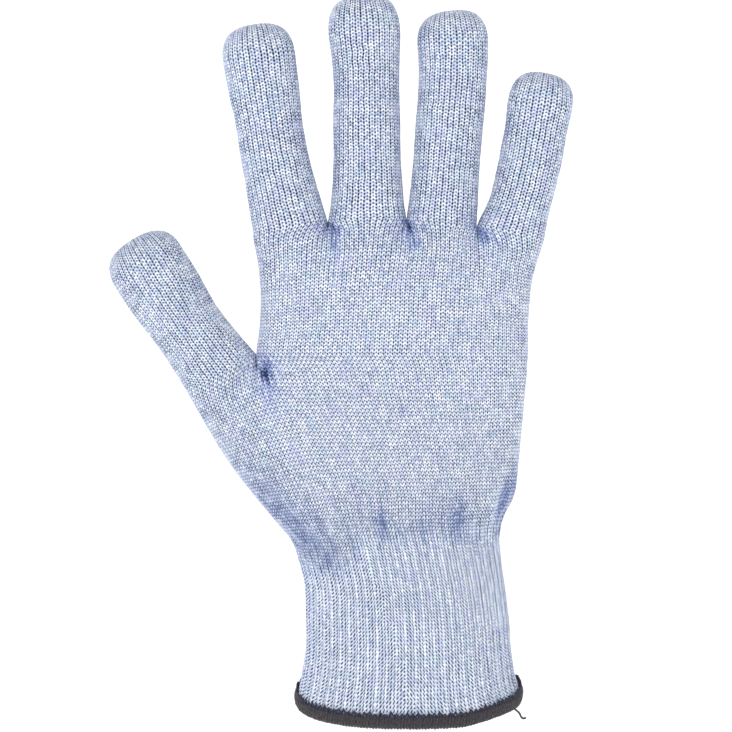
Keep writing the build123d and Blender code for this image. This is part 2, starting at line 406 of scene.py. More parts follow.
def from_left(wale):
    """How many wales a place is from the thumb's side, round either face."""
    ring = wale % (2 * LOWER_WALES)
    return np.minimum(ring, 2 * LOWER_WALES - ring)


def rib_height(wale, course):
    """Height of the cuff's yarn: a smooth crown of one wale, then two wales of slanted strokes."""
    place = wale % RIB_WALES
    flip = RIB_FLIP[0] + RIB_FLIP[1] * (np.floor(course) - RIB_FROM)
    lean = np.where(np.floor(from_left(wale) / RIB_WALES) > flip, 0.95, -0.95)
    line = wave(course - lean * (place - 2))
    gap = np.abs(np.cos(np.pi * place)) ** 1.5
    stroke = 1 - (1 - line) * (0.2 + 0.8 * gap)
    crown = 0.84 + 0.12 * np.cos(2 * np.pi * course)
    share = smooth((np.abs((place + 1) % RIB_WALES - 1.5) - 0.22) / 0.25)
    return crown + (stroke - crown) * share


def raised(grid, wale, course, drift, marks, seed):
    """The grid with its stitches in relief, which fades out at the crotches."""
    normal = normals_of(grid)
    rows, columns = grid.shape[:2]
    wale = wale[None, :] + drift[..., 0]
    course = course[:, None] + drift[..., 1]
    loose = 1 + 0.25 * soft_noise(rows, columns, 5 * SUB, 4 * SUB, seed)
    stitch = plain_height(wale, course, marks["taut"])
    stitch = stitch + (rib_height(wale, course) - stitch) * marks["rib"]
    height = RELIEF * loose * (stitch - 0.62)
    height = height + RIB_RELIEF * 0.5 * np.cos(2 * np.pi * (wale - 0.5) / RIB_WALES) * marks["ribbed"]
    height = height + 0.14 * soft_noise(rows, columns, 9 * SUB, 7 * SUB, seed + 1)
    for point in PINCHES:
        height = height * smooth(np.linalg.norm(grid - np.array(point), axis=-1) / 3.0)
    return grid + normal * height[..., None]


def drift_of(rows, columns, seed):
    """How far each place of a grid has slipped, in wales and courses. Its end rows stay put."""
    edge = np.minimum(np.arange(rows), np.arange(rows)[::-1])
    across = 0.10 * soft_noise(rows, columns, 2.5 * SUB, 2 * SUB, seed)
    along = 0.15 * soft_noise(rows, columns, 2 * SUB, 2 * SUB, seed + 1)
    along = along + 0.16 * soft_noise(rows, columns, 9 * SUB, 5 * SUB, seed + 2)
    return np.stack([across, along], axis=-1) * smooth(edge / (3 * SUB))[:, None, None]


def lining(grid):
    """The inner face, one row to a course, kept on its own side of the middle where fabric is pinched."""
    inner = (grid - normals_of(grid) * WALL)[::SUB]
    half = grid.shape[1] // 2
    inner[:, 1:half, 1] = np.minimum(inner[:, 1:half, 1], -0.1)
    inner[:, half + 1:, 1] = np.maximum(inner[:, half + 1:, 1], 0.1)
    return inner


def ring_wales(first, wales):
    """The wale number of each column of a ring whose front starts at wale first."""
    count = wales * SUB
    front = first + np.arange(count) / SUB
    back = 2 * LOWER_WALES - first - wales + np.arange(count) / SUB
    return np.concatenate([front, back])


# ---- meshes

def mesh_object(name, points, faces, material, stitch=None, marks=None, sharp=None):
    """A mesh object from points in millimetres, dropping points that no face uses."""
    used = np.unique(faces)
    place = np.zeros(len(points), int)
    place[used] = np.arange(len(used))
    faces = place[faces]
    mesh = bpy.data.meshes.new(name)
    mesh.vertices.add(len(used))
    mesh.vertices.foreach_set("co", (points[used] * MM).astype(np.float32).ravel())
    mesh.loops.add(faces.size)
    mesh.loops.foreach_set("vertex_index", faces.astype(np.int32).ravel())
    mesh.polygons.add(len(faces))
    mesh.polygons.foreach_set("loop_start", np.arange(0, faces.size, 4, dtype=np.int32))
    mesh.update(calc_edges=True)
    mesh.polygons.foreach_set("use_smooth", np.ones(len(faces), bool))
    if stitch is not None:
        layer = mesh.uv_layers.new(name="stitch")
        layer.data.foreach_set("uv", stitch.astype(np.float32).ravel())
    for mark, values in (marks or {}).items():
        layer = mesh.attributes.new(mark, "FLOAT", "POINT")
        layer.data.foreach_set("value", values[used].astype(np.float32))
    if sharp is not None:
        ends = np.zeros(len(mesh.edges) * 2, np.int32)
        mesh.edges.foreach_get("vertices", ends)
        edge = sharp[used][ends.reshape(-1, 2)]
        hard = (edge[:, 0] == edge[:, 1]) & (edge[:, 0] > 0)
        flags = mesh.attributes.get("sharp_edge") or mesh.attributes.new("sharp_edge", "BOOLEAN", "EDGE")
        flags.data.foreach_set("value", hard)
    mesh.materials.append(material)
    piece = bpy.data.objects.new(name, mesh)
    bpy.context.scene.collection.objects.link(piece)
    return piece


def index_of(grid, closed=False):
    """The numbers of a grid's points. A closed grid ends with its first row again."""
    index = np.arange(grid.shape[0] * grid.shape[1]).reshape(grid.shape[:2])
    return np.concatenate([index, index[:1]]) if closed else index


def quads(index, flip=False):
    """Faces between the rows and round the ring of an index grid."""
    right = np.roll(index, -1, axis=1)
    corners = [index[:-1], index[1:], right[1:], right[:-1]]
    if flip:
        corners = corners[::-1]
    return np.stack(corners, axis=-1).reshape(-1, 4)


def knit_piece(name, outer, inner, wale, course, drift, marks, material, closed_tip):
    """One closed length of knit: relief outside, a plainer face inside, joined at its ends."""
    rows, columns = outer.shape[:2]
    half = columns // 2
    out = index_of(outer)
    back = rows * columns + index_of(inner)
    points = np.concatenate([outer.reshape(-1, 3), inner.reshape(-1, 3)])
    marks = {mark: np.concatenate([values.ravel(), values[::SUB].ravel()]) for mark, values in marks.items()}
    ends = np.zeros(len(points), int)
    ends[out[-1]] = 1
    ends[back[-1]] = 2
    if closed_tip:
        mirror = (columns - np.arange(half + 1, columns))
        middle = (points[back[0, half + 1:]] + points[back[0, mirror]]) / 2
        points[back[0, mirror]] = middle
        out[0, half + 1:] = out[0, mirror]
        back[0, half + 1:] = back[0, mirror]
    else:
        ends[out[0]] = 3
        ends[back[0]] = 4

    def corners_of(step):
        """The wale and course of the left and right ends of each row of faces."""
        slip = drift[::step]
        rows_at = course[::step, None]
        left = np.stack([wale[None, :] + slip[..., 0], rows_at + slip[..., 1]], axis=-1)
        slip = np.roll(slip, -1, axis=1)
        right = np.stack([wale[None, :] + 1 / SUB + slip[..., 0], rows_at + slip[..., 1]], axis=-1)
        return left, right

    faces = [quads(out), quads(back, flip=True)]
    left, right = corners_of(1)
    stitch = [np.stack([left[:-1], left[1:], right[1:], right[:-1]], axis=2).reshape(-1, 2)]
    inner_left, inner_right = corners_of(SUB)
    stitch.append(np.stack(
        [inner_right[:-1], inner_right[1:], inner_left[1:], inner_left[:-1]], axis=2).reshape(-1, 2))
    strips = [(np.stack([out[-1], back[-1]]), -1)]
    if not closed_tip:
        strips.append((np.stack([back[0], out[0]]), 0))
    for strip, row in strips:
        faces.append(quads(strip))
        stitch.append(np.stack([left[row], left[row], right[row], right[row]], axis=1).reshape(-1, 2))
    return mesh_object(name, points, np.concatenate(faces), material, np.concatenate(stitch), marks, ends)


def tube_ring(name, path, radius, material, sides=6):
    """A thin closed thread that follows a closed path."""
    along = unit(np.roll(path, -1, axis=0) - np.roll(path, 1, axis=0))
    out = unit(np.cross(along, UP))
    rise = np.cross(out, along)
    turn = (2 * np.pi * np.arange(sides) / sides)[:, None, None]
    rings = path[None] + radius * (np.cos(turn) * out[None] + np.sin(turn) * rise[None])
    return mesh_object(name, rings.reshape(-1, 3), quads(index_of(rings, closed=True)), material)


def tube_line(name, path, radius, material, sides, ply, turns):
    """A thin open thread of three plies, lightly twisted, with closed, narrowing ends."""
    along = unit(np.gradient(path, axis=0))
    out = unit(np.cross(along, [0.1, 1.0, 0.05]))
    rise = np.cross(out, along)
    turn = 2 * np.pi * np.arange(sides) / sides
    place = np.linspace(0, 1, len(path))
    thick = radius * np.sqrt(np.clip(np.minimum(place, 1 - place) * 12, 0.002, 1))
    swell = 1 + ply * np.cos(3 * (turn[None, :] - 2 * np.pi * turns * place[:, None]))
    size = thick[:, None] * swell
    rings = path[:, None] + size[..., None] * (
        np.cos(turn)[None, :, None] * out[:, None] + np.sin(turn)[None, :, None] * rise[:, None])
    index = index_of(rings)
    faces = [quads(index)]
    for end, order in ((index[0], (0, 1, 2, 3)), (index[-1], (3, 2, 1, 0))):
        for i in range(sides // 2 - 1):
            corner = np.array([end[i], end[i + 1], end[sides - 2 - i], end[sides - 1 - i]])
            faces.append(corner[list(order)][None])
    return mesh_object(name, rings.reshape(-1, 3), np.concatenate(faces), material)


# ---- materials

class Field:
    """A number that varies over a material, with sums written as usual."""

    def __init__(self, sheet, socket):
        self.sheet = sheet
        self.socket = socket

    def __add__(self, other):
        return self.sheet.maths("ADD", self, other)

    def __sub__(self, other):
        return self.sheet.maths("SUBTRACT", self, other)

    def __rsub__(self, other):
        return self.sheet.maths("SUBTRACT", other, self)

    def __mul__(self, other):
        return self.sheet.maths("MULTIPLY", self, other)

    def __pow__(self, other):
        return self.sheet.maths("POWER", self, other)

    def __mod__(self, other):
        return self.sheet.maths("MODULO", self, other)

    def __abs__(self):
        return self.sheet.maths("ABSOLUTE", self)

    def __floor__(self):
        return self.sheet.maths("FLOOR", self)


class Sheet:
    """A material and its nodes, made by short calls."""

    def __init__(self, name):
        self.material = bpy.data.materials.new(name)
        self.material.use_nodes = True
        self.tree = self.material.node_tree
        self.shader = self.tree.nodes["Principled BSDF"]

    def node(self, kind, inputs=(), output=0, **values):
        """A new node's output. inputs pairs the places or names of its sockets with what they get."""
        node = self.tree.nodes.new(kind)
        for key, value in values.items():
            setattr(node, key, value)
        for socket, value in inputs:
            self.link(value, node.inputs[socket])
        return Field(self, node.outputs[output])

    def link(self, source, target):
        if isinstance(source, Field):
            self.tree.links.new(source.socket, target)
        else:
            target.default_value = source

    def maths(self, operation, *numbers):
        return self.node("ShaderNodeMath", enumerate(numbers), operation=operation)

    def cosine(self, turns):
        return self.maths("COSINE", turns * (2 * math.pi))

    def ramp(self, value, low, high):
        return self.node("ShaderNodeMapRange", enumerate((value, low, high)), interpolation_type="SMOOTHSTEP")

    def mix(self, share, *colours):
        ends = [colour if isinstance(colour, Field) else (*colour, 1.0) for colour in colours]
        return self.node("ShaderNodeMix", zip((0, 6, 7), (share, *ends)), 2, data_type="RGBA")

    def vector(self, *places):
        return self.node("ShaderNodeCombineXYZ", enumerate(places))

    def noise(self, place, scale, detail):
        return self.node("ShaderNodeTexNoise", (("Vector", place), ("Scale", scale), ("Detail", detail)))

    def grain(self, x, y, z, detail=1.0):
        return self.noise(self.vector(x, y, z), 1.0, detail)

    def settings(self, values):
        for name, value in values.items():
            self.shader.inputs[name].default_value = value

    def bump(self, height, strength, distance):
        inputs = (("Strength", strength), ("Distance", distance), ("Height", height))
        self.link(self.node("ShaderNodeBump", inputs), self.shader.inputs["Normal"])


WHITE_YARN = (0.90, 0.925, 0.965)
PALE_YARN = (0.53, 0.61, 0.78)
BLUE_YARN = (0.17, 0.24, 0.45)
# painted shade: the near-black navy put in the gaps between stitches
GAP_SHADE_NAVY = (0.014, 0.021, 0.062)
# painted shade: the blue put at the sides of tubes, in creases, in rib troughs and in the wrist's hollows
HOLLOW_SHADE_BLUE = (0.25, 0.33, 0.70)
# round the crotches: partly the crowded blue yarn, partly painted shade
GATHER_SHADE_BLUE = (0.12, 0.19, 0.50)
# painted shade: the navy core of each crotch's gather
GATHER_SHADE_NAVY = (0.020, 0.030, 0.095)
LILAC_TINT = (0.68, 0.68, 0.92)
SEA_TINT = (0.62, 0.75, 0.86)


def knit_material(name):
    """Marled white and blue yarn, plain or ribbed, with painted navy shade in the gaps between stitches and
    painted blue shade in hollows; round the crotches it is bluer, partly crowded yarn and partly painted
    shade.
    """
    s = Sheet(name)
    place = s.node("ShaderNodeUVMap", uv_map="stitch")
    wale, course = [s.node("ShaderNodeSeparateXYZ", [(0, place)], output) for output in (0, 1)]
    gather_shade, painted_shade, taut, rib = [s.node("ShaderNodeAttribute", output="Fac", attribute_name=mark)
                                 for mark in ("gather_shade", "painted_shade", "taut", "rib")]

    # plain stitches
    slant = abs(s.maths("FRACT", wale) - 0.5) * 2.0
    yarn = course - slant * 0.5
    line = s.cosine(yarn) * 0.5 + 0.5
    beat = s.cosine(wale)
    gap = abs(beat) ** 1.5 * (beat * 0.13 + 0.87)
    low = 0.24 - taut * 0.18
    dark = (1.0 - line) ** (1.0 - beat * (taut * 0.2 + 0.3))
    plain = 1.0 - dark * (low + (1.0 - low) * gap)

    # ribbed stitches: a smooth crown, then slanted strokes in the trough
    # (whole ribs and rings are added, because a remainder is wrong below nought)
    across = (wale + 400 * RIB_WALES) % RIB_WALES
    ring = (wale + 10 * LOWER_WALES) % (2 * LOWER_WALES)
    side = s.maths("MINIMUM", ring, 2 * LOWER_WALES - ring)
    rib_number = math.floor(side * (1 / RIB_WALES))
    flip = (math.floor(course) - RIB_FROM) * RIB_FLIP[1] + RIB_FLIP[0]
    lean = s.maths("GREATER_THAN", rib_number, flip) * 1.9 - 0.95
    rib_line = s.cosine(course - lean * (across - 2.0)) * 0.5 + 0.5
    rib_gap = abs(s.maths("COSINE", across * math.pi)) ** 1.5
    stroke = 1.03 - (1.0 - rib_line) * (rib_gap * 0.8 + 0.2)
    crown = s.cosine(course) * 0.12 + 0.82
    near = abs((across + 1.0) % RIB_WALES - RIB_WALES / 2)
    clear = s.grain(rib_number * 5.3, course * 0.09, 9.0)
    width = s.ramp(clear, 0.34, 0.60) * 0.26
    ribbed = crown + (stroke - crown) * s.ramp(near, width, width + 0.22)
    height = plain + (ribbed - plain) * rib

    # each yarn row carries its own white and blue plies, and each stitch sits a little differently
    row = math.floor(yarn + 0.5)
    ply = s.grain(wale * 1.5, row * 17.3, 0.0)
    twist = s.grain(wale * 4.0, yarn * 7.0, 3.0)
    patch = s.grain(wale * 0.11, course * 0.09, 7.0, 2.0)
    tint = s.grain(wale * 0.25, course * 0.18, 11.0)
    fibre = s.grain(wale * 9.0, yarn * 14.0, 5.0, 2.0)
    dash = s.grain(math.floor(wale * 2.0 + 0.5) * 7.7, course * 0.22, 2.0, 0.0)
    strand = s.grain(wale * 1.6, course * 0.22, 4.0)
    stitch = s.vector(math.floor(wale * 2.0), row)
    lone = s.node("ShaderNodeTexWhiteNoise", [("Vector", stitch)], "Value", noise_dimensions="2D")

    # how light each place is, from the relief and random tone, with painted shade: less in gaps, in deep
    # columns and in hollows; also less, and flatter, where the knit is taut
    tone_and_shade = height + (twist - 0.5) * 0.30 + (lone - 0.5) * 0.24
    # painted shade in the gaps of some columns, chosen at random, as if they ran deeper
    deep = s.ramp(dash, 0.46, 0.66) * s.ramp(gap, 0.35, 0.9)
    tone_and_shade = tone_and_shade - deep * (taut * 0.12 + 0.08)
    drawn = taut - rib
    tone_and_shade = (tone_and_shade - 0.5) * (1.0 - drawn * 0.22) + 0.5
    tone_and_shade = tone_and_shade - drawn * 0.06 - painted_shade * 0.24

    pale = s.mix(s.ramp(ply, 0.36, 0.60), PALE_YARN, WHITE_YARN)
    pale = s.mix(s.ramp(patch, 0.50, 0.75) * 0.22, pale, PALE_YARN)
    pale = s.mix(s.ramp(tint, 0.50, 0.70) * 0.45, pale, LILAC_TINT)
    pale = s.mix(s.ramp(tint, 0.50, 0.30) * 0.45, pale, SEA_TINT)
    # lower on a stitch's relief is painted darker: first blue, partly the yarn's blue ply and partly painted
    # shade, then painted navy shade in the gaps
    body = s.mix(s.ramp(tone_and_shade, 0.42, 0.80), BLUE_YARN, pale)
    colour = s.mix(s.ramp(tone_and_shade, 0.22, 0.55), GAP_SHADE_NAVY, body)
    colour = s.mix(s.ramp(fibre, 0.55, 0.8) * 0.20, colour, WHITE_YARN)
    # painted shade: bluer at the sides of tubes, in creases, in rib troughs and round the wrist
    colour = s.mix(painted_shade * 0.30, colour, HOLLOW_SHADE_BLUE)
    # round and below each crotch: bluer, partly crowded yarn and partly painted shade, with a core of painted
    # navy shade
    streak = gather_shade * 0.85 + (strand - 0.5) * 2.2 + (0.6 - height) * 0.6
    bound = s.maths("MINIMUM", gather_shade * 6.0, 1.0)
    colour = s.mix(bound * (s.ramp(streak, 0.15, 0.75) * 0.75), colour, GATHER_SHADE_BLUE)
    colour = s.mix(bound * s.ramp(streak, 0.72, 1.15), colour, GATHER_SHADE_NAVY)
    s.link(colour, s.shader.inputs["Base Color"])
    s.settings({"Roughness": 0.85, "Specular IOR Level": 0.25, "Sheen Weight": 0.10,
                "Sheen Roughness": 0.45, "Sheen Tint": (0.85, 0.9, 1.0, 1.0)})
    s.bump(fibre * 0.35 + twist * 0.65, 0.55, 0.00035)
    return s.material


def thread_material(name, dark, light, scale, roughness=0.6):
    """Wound or twisted thread, with darker and lighter fibres."""
    s = Sheet(name)
    fibre = s.noise(s.node("ShaderNodeTexCoord", output="Object"), scale, 3.0)
    s.link(s.mix(s.ramp(fibre, 0.35, 0.68), dark, light), s.shader.inputs["Base Color"])
    s.settings({"Roughness": roughness, "Specular IOR Level": 0.35, "Sheen Weight": 0.15})
    s.bump(fibre, 0.5, 0.0002)
    return s.material


knit = knit_material("marled_knit")
rib_knit = knit_material("marled_rib")
hem_thread = thread_material("overlock_thread", (0.008, 0.006, 0.010), (0.064, 0.056, 0.068), 2600)
needle_thread = thread_material("navy_needle_thread", (0.008, 0.010, 0.026), (0.030, 0.038, 0.085), 3000)
elastic = thread_material("elastic_thread", (0.62, 0.66, 0.78), (0.88, 0.90, 0.95), 2500, 0.5)


# ---- the knitted shell

CROTCHES = [(x, 0.0, z) for x, z in CROTCH_LINE[1:4]]
THUMB_CROTCH = (THUMB_LINE[1][0], 0.0, THUMB_LINE[1][1])
PINCHES = CROTCHES + [THUMB_CROTCH]
# for each crotch: how far its gather is moved over, how far it slants on its way down, and its size
GATHERS = [(2.0, 0.05, 1.0), (0.7, 0.10, 1.0), (0.6, 0.42, 1.0), (2.0, 0.10, 1.45)]
# the soft spots that make up a gather: strength, half width, middle's drop and half height
GATHER_SPOTS = [(0.66, 4.2, 4.6, 6.4), (0.22, 2.6, 10.0, 6.0), (0.46, 1.9, 2.6, 2.8)]


def gather_of(grid):
    """How tightly the yarn is gathered, round each crotch and below it; the material paints this bluer,
    partly as the crowded yarn and partly as painted shade, with painted navy shade at its core.
    """
    most = np.zeros(grid.shape[:2])
    for point, (shift, slant, size) in zip(PINCHES, GATHERS):
        apart = (grid - np.array(point)) / size
        fall = -apart[..., 2]
        across = apart[..., 0] - (shift + slant * fall) * smooth(fall / 2.5)
        most = np.maximum(most, sum(
            strength * np.exp(-(across / width) ** 2 - ((fall - middle) / tall) ** 2)
            for strength, width, middle, tall in GATHER_SPOTS))
    return most


def puckered(grid):
    """The grid with folds that run out from each crotch into the hand below it, and their depth, which the
    material gets as painted shade.
    """
    height = np.zeros(grid.shape[:2])
    for number, (px, _, pz) in enumerate(PINCHES):
        dx, dz = grid[..., 0] - px, grid[..., 2] - pz
        away = np.hypot(dx, dz)
        angle = np.arctan2(dx, -dz)
        fold = np.cos(9 * angle + number) + 0.5 * np.cos(15 * angle + 2 * number)
        height += 0.42 * fold * smooth(away / 4) * np.exp(-away / 9) * (dz < 0.5)
    return grid + normals_of(grid) * height[..., None], np.clip(-height, 0, 1)


# Slack folds round the wrist: middle x and z, half length, half width, lean in degrees, height
# (below nought for a hollow), and the face they lie on
WRIST_FOLDS = [
    (-41, 68, 14, 2.4, -46, 0.6, -1), (-37, 63, 14, 2.0, -46, -1.0, -1), (-33, 61, 13, 2.0, -50, 0.7, -1),
    (-29, 60, 12, 1.8, -54, -0.8, -1), (-24.5, 59, 10, 1.8, -60, 0.5, -1), (-20, 58, 9, 1.7, -68, -0.5, -1),
    (-9.5, 63, 7, 1.5, -82, -0.6, -1), (3, 60, 8, 1.6, 88, -0.35, -1), (15.5, 64, 8, 1.7, 82, -0.7, -1),
    (30.5, 68.5, 9, 1.4, 79, -1.2, -1), (26.8, 69, 9, 2.2, 79, 0.6, -1), (22, 58, 8, 2.0, 76, -0.4, -1),
    (-34, 63, 14, 2.4, -44, -0.9, 1), (-29, 61, 13, 2.4, -48, 0.7, 1), (-18, 59, 11, 2.2, -60, -0.6, 1),
    (22, 62, 11, 2.2, 70, -0.8, 1), (27, 64, 10, 2.4, 72, 0.6, 1), (3, 60, 10, 2.4, 85, -0.4, 1),
]


# Painted shade round the wrist, bluer and darker: listed as the folds, with how strongly shaded in place of
# height
WRIST_PAINTED_SHADES = [
    (-45, 68, 17, 5.5, -46, 0.55, -1), (-34, 56, 6, 4.5, -50, 0.5, -1), (-26.5, 50.5, 5, 2.2, -68, 0.5, -1),
    (-9.4, 62.5, 4.5, 2.6, 90, 0.5, -1), (3.5, 60.5, 3.5, 3.5, 90, 0.25, -1), (9, 64, 5, 3, 88, 0.3, -1),
    (15.4, 63, 6, 3, 84, 0.5, -1), (33, 72.5, 9, 2.0, 72, 0.7, -1), (-17, 72, 9, 3, -62, 0.2, -1),
    (-40, 64, 15, 6, -46, 0.5, 1), (18, 62, 7, 4, 80, 0.4, 1), (-4, 61, 5, 5, 90, 0.3, 1),
]


def ridges(grid, folds, fade):
    """The sum of long soft bumps on a grid, each kept to its own face of the glove."""
    height = np.zeros(grid.shape[:2])
    for x, z, length, width, lean, size, side in folds:
        lean = math.radians(lean)
        dx, dz = grid[..., 0] - x, grid[..., 2] - z
        along = dx * math.cos(lean) + dz * math.sin(lean)
        across = -dx * math.sin(lean) + dz * math.cos(lean)
        facing = smooth(side * grid[..., 1] / fade)
        height += size * facing * np.exp(-(along / length) ** 2 - (across / width) ** 2)
    return height


def creased(grid):
    """The grid with slack folds round the wrist, and the painted shade, bluer and darker, in its hollows and
    on the shaded wrist patches.
    """
    height = ridges(grid, WRIST_FOLDS, 9)
    # painted shade in the folds' hollows and on the listed wrist patches
    shade = np.clip(-height, 0, 1) * 0.7 + ridges(grid, WRIST_PAINTED_SHADES, 3)
    return grid + normals_of(grid) * height[..., None], shade


def marks_of(grid, wale, course, taut, depth=0.0, gathered=True):
    """What the knit's relief and colour depend on, over a grid."""
    number = from_left(wale)[None, :]
    starts = RIB_START - 9 * smooth((number - 22) / 14)
    rib = smooth((course[:, None] - starts) / 9)
    ribbed = smooth((course[:, None] - starts + 14) / 20)
    trough = 1 - wave((wale[None, :] - 0.5) / RIB_WALES)
    side = np.abs(normals_of(grid)[..., 0]) ** 4
    # painted shade: stronger where a face turns sideways, in the creases below the crotches and round the
    # wrist, and in the cuff's rib troughs
    painted_shade = np.clip(0.30 * side + 0.9 * depth + 0.16 * trough * ribbed, 0, 1)
    gather_shade = gather_of(grid) if gathered else np.zeros(grid.shape[:2])
    return {"gather_shade": gather_shade, "painted_shade": painted_shade, "taut": np.broadcast_to(taut, grid.shape[:2]),
            "rib": rib, "ribbed": ribbed}


shells = {}
for number, (name, plan) in enumerate(FINGERS.items()):
    plan["first"] = THUMB_WALES + sum(p["wales"] for p in list(FINGERS.values())[:number])
THUMB["first"] = 0


def add_shell(name, base, wale, course, marks, seed, above=()):
    """Puts a shell's knit in relief. above names the shells whose last rows are its first."""
    drift = drift_of(*base.shape[:2], seed)
    out = raised(base, wale, course, drift, marks, seed + 3)
    half = base.shape[1] // 2
    for other, start, wales in above:
        last = shells[other]["out"][-1]
        start, count = start * SUB, wales * SUB
        steps = np.arange(count + 1)
        out[0, start + steps] = last[steps]
        out[0, (2 * half - start - steps) % (2 * half)] = last[(2 * count - steps) % (2 * count)]
    shells[name] = dict(base=base, out=out, inner=lining(base), course=course, wale=wale,
                        drift=drift, marks=marks, courses=(len(base) - 1) // SUB)


for number, (name, plan) in enumerate([*FINGERS.items(), ("thumb", THUMB)]):
    base = finger_grid(plan)
    courses = (len(base) - 1) // SUB
    start = HAND_COURSES if name == "thumb" else 0
    course = start - courses + np.arange(len(base)) / SUB
    wale = ring_wales(plan["first"], plan["wales"])
    add_shell(name, base, wale, course, marks_of(base, wale, course, 1.0), 20 + 7 * number)
    fade = smooth(np.arange(len(base)) / (1.5 * SUB))[:, None, None]
    shells[name]["out"] = base + (shells[name]["out"] - base) * fade

base, depth = puckered(upper_hand_grid())
course = np.arange(len(base)) / SUB
wale = ring_wales(THUMB_WALES, HAND_WALES)
taut = 1 - 0.8 * smooth(course / 24)[:, None]
add_shell("upper", base, wale, course, marks_of(base, wale, course, taut, depth), 60,
          [(name, plan["first"] - THUMB_WALES, plan["wales"]) for name, plan in FINGERS.items()])

base, depth = puckered(lower_hand_grid())
# folds holds the painted shade of the wrist's hollows and patches; it is added to the crease depth
base, folds = creased(base)
course = HAND_COURSES + np.arange(len(base)) / SUB
wale = ring_wales(0, LOWER_WALES)
taut = np.maximum(0.2, smooth((course - HAND_COURSES - 14) / 36))[:, None]
near_thumb = 1 - smooth((from_left(wale) - 14) / 10)[None, :]
taut = np.maximum(taut, near_thumb)
add_shell("lower", base, wale, course, marks_of(base, wale, course, taut, depth + folds), 70,
          [("thumb", 0, THUMB_WALES), ("upper", THUMB_WALES, HAND_WALES)])

# folds holds the painted shade of the wrist's hollows and patches on the cuff
base, folds = creased(cuff_grid())
course = HAND_COURSES + LOWER_COURSES + np.arange(len(base)) / SUB
add_shell("cuff", base, wale, course, marks_of(base, wale, course, 1.0, folds, False), 80)
shells["cuff"]["out"][0] = shells["lower"]["out"][-1]


def add_piece(name, shell, low, high, bodies, nodes, zone=None, slot="shell_knit"):
    """One named length of a shell, between two of its courses.

    It rides on its first body when zone is None; given a zone, it is baked in place and rides on no
    body. It stands for nodes. A tube's first length has its closed tip.
    """
    s = shells[shell]
    fine = slice(low * SUB, high * SUB + 1)
    marks = {mark: values[fine] for mark, values in s["marks"].items()}
    closed_tip = low == 0 and shell in [*FINGERS, "thumb"]
    piece = knit_piece(name, s["out"][fine], s["inner"][low:high + 1], s["wale"], s["course"][fine],
                       s["drift"][fine], marks, rib_knit if slot == "rib_knit" else knit, closed_tip)
    if zone is None:
        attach(piece, bodies[0])
    else:
        [tuple(value * MM for value in point) for point in zone]
        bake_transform(piece)
    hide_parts(*nodes)


joints = {joint["name"]: joint for joint in frame["joints"]}


def zone_of(joint, half, direction=UP):
    """The stretch of fabric that turns at a joint, half a length each side of its axis."""
    middle = np.array(joints[joint]["pos_m"]) / MM
    return middle - direction * half, middle + direction * half


def course_at(shell, point, direction):
    """The course of a tube whose middle is level with a point, along the tube's direction."""
    middles = shells[shell]["base"].mean(axis=1)
    return round(int(np.argmin(np.abs((middles - point) @ direction))) / SUB)


def tube_direction(shell, point):
    """The way a tube points at a place, towards its tip."""
    middles = shells[shell]["base"].mean(axis=1)
    near = int(np.clip(np.argmin(np.abs(middles[:, 2] - point[2])), 12, len(middles) - 13))
    return unit(middles[near - 12] - middles[near + 12])


# each finger: half lengths of its base, middle and tip folds
LONG_FOLDS = (6.5, 12.0, 9.0)
FOLDS = {"index": LONG_FOLDS, "middle": LONG_FOLDS, "ring": LONG_FOLDS, "little": (6.5, 8.5, 7.5)}
for name, halves in FOLDS.items():
    bodies = ["upper_hand", f"{name}_base", f"{name}_middle", f"{name}_tip"]
    parts = ["base", "middle", "tip"]
    zones = []
    for part, half in zip(parts, halves):
        point = np.array(joints[f"{name}_{part}_bend"]["pos_m"]) / MM
        zones.append(zone_of(f"{name}_{part}_bend", half, tube_direction(name, point)))
    rows = [shells[name]["courses"]]
    for low, high in zip(zones, zones[1:]):
        split = (low[1] + high[0]) / 2
        rows.append(course_at(name, split, tube_direction(name, split)))
    rows.append(0)
    for i, part in enumerate(parts):
        nodes = [f"{name}_finger_{part}", f"{name}_finger_{part}_fold"]
        add_piece(f"{name}_finger_{part}_knit", name, rows[i + 1], rows[i], bodies[i:i + 2], nodes, zones[i])

thumb_way = np.array([math.sin(math.radians(-32.5)), 0, math.cos(math.radians(32.5))])
base_zone = zone_of("thumb_base_bend", 7.5, thumb_way)
tip_zone = zone_of("thumb_tip_bend", 11.0, thumb_way)
split = course_at("thumb", (base_zone[1] + tip_zone[0]) / 2, thumb_way)
add_piece("thumb_base_knit", "thumb", split, shells["thumb"]["courses"],
          ["lower_hand", "thumb_base"], ["thumb_base", "thumb_base_fold"], base_zone)
add_piece("thumb_tip_knit", "thumb", 0, split,
          ["thumb_base", "thumb_tip"], ["thumb_tip", "thumb_tip_fold"], tip_zone)

wrist_zone = zone_of("wrist_bend", 18.0)
add_piece("upper_hand_knit", "upper", 0, HAND_COURSES,
          ["lower_hand", "upper_hand"], ["upper_hand", "knuckle_fold"], zone_of("knuckle_row_bend", 13.3))
add_piece("lower_hand_knit", "lower", 0, WRIST_SPLIT, ["lower_hand"], ["lower_hand"])
add_piece("wrist_knit", "lower", WRIST_SPLIT, LOWER_COURSES,
          ["cuff", "lower_hand"], ["wrist_fold"], wrist_zone)
add_piece("cuff_rib_knit", "cuff", 0, CUFF_COURSES,
          ["cuff", "lower_hand"], ["cuff_rib"], wrist_zone, "rib_knit")


# ---- elastic thread in the cuff

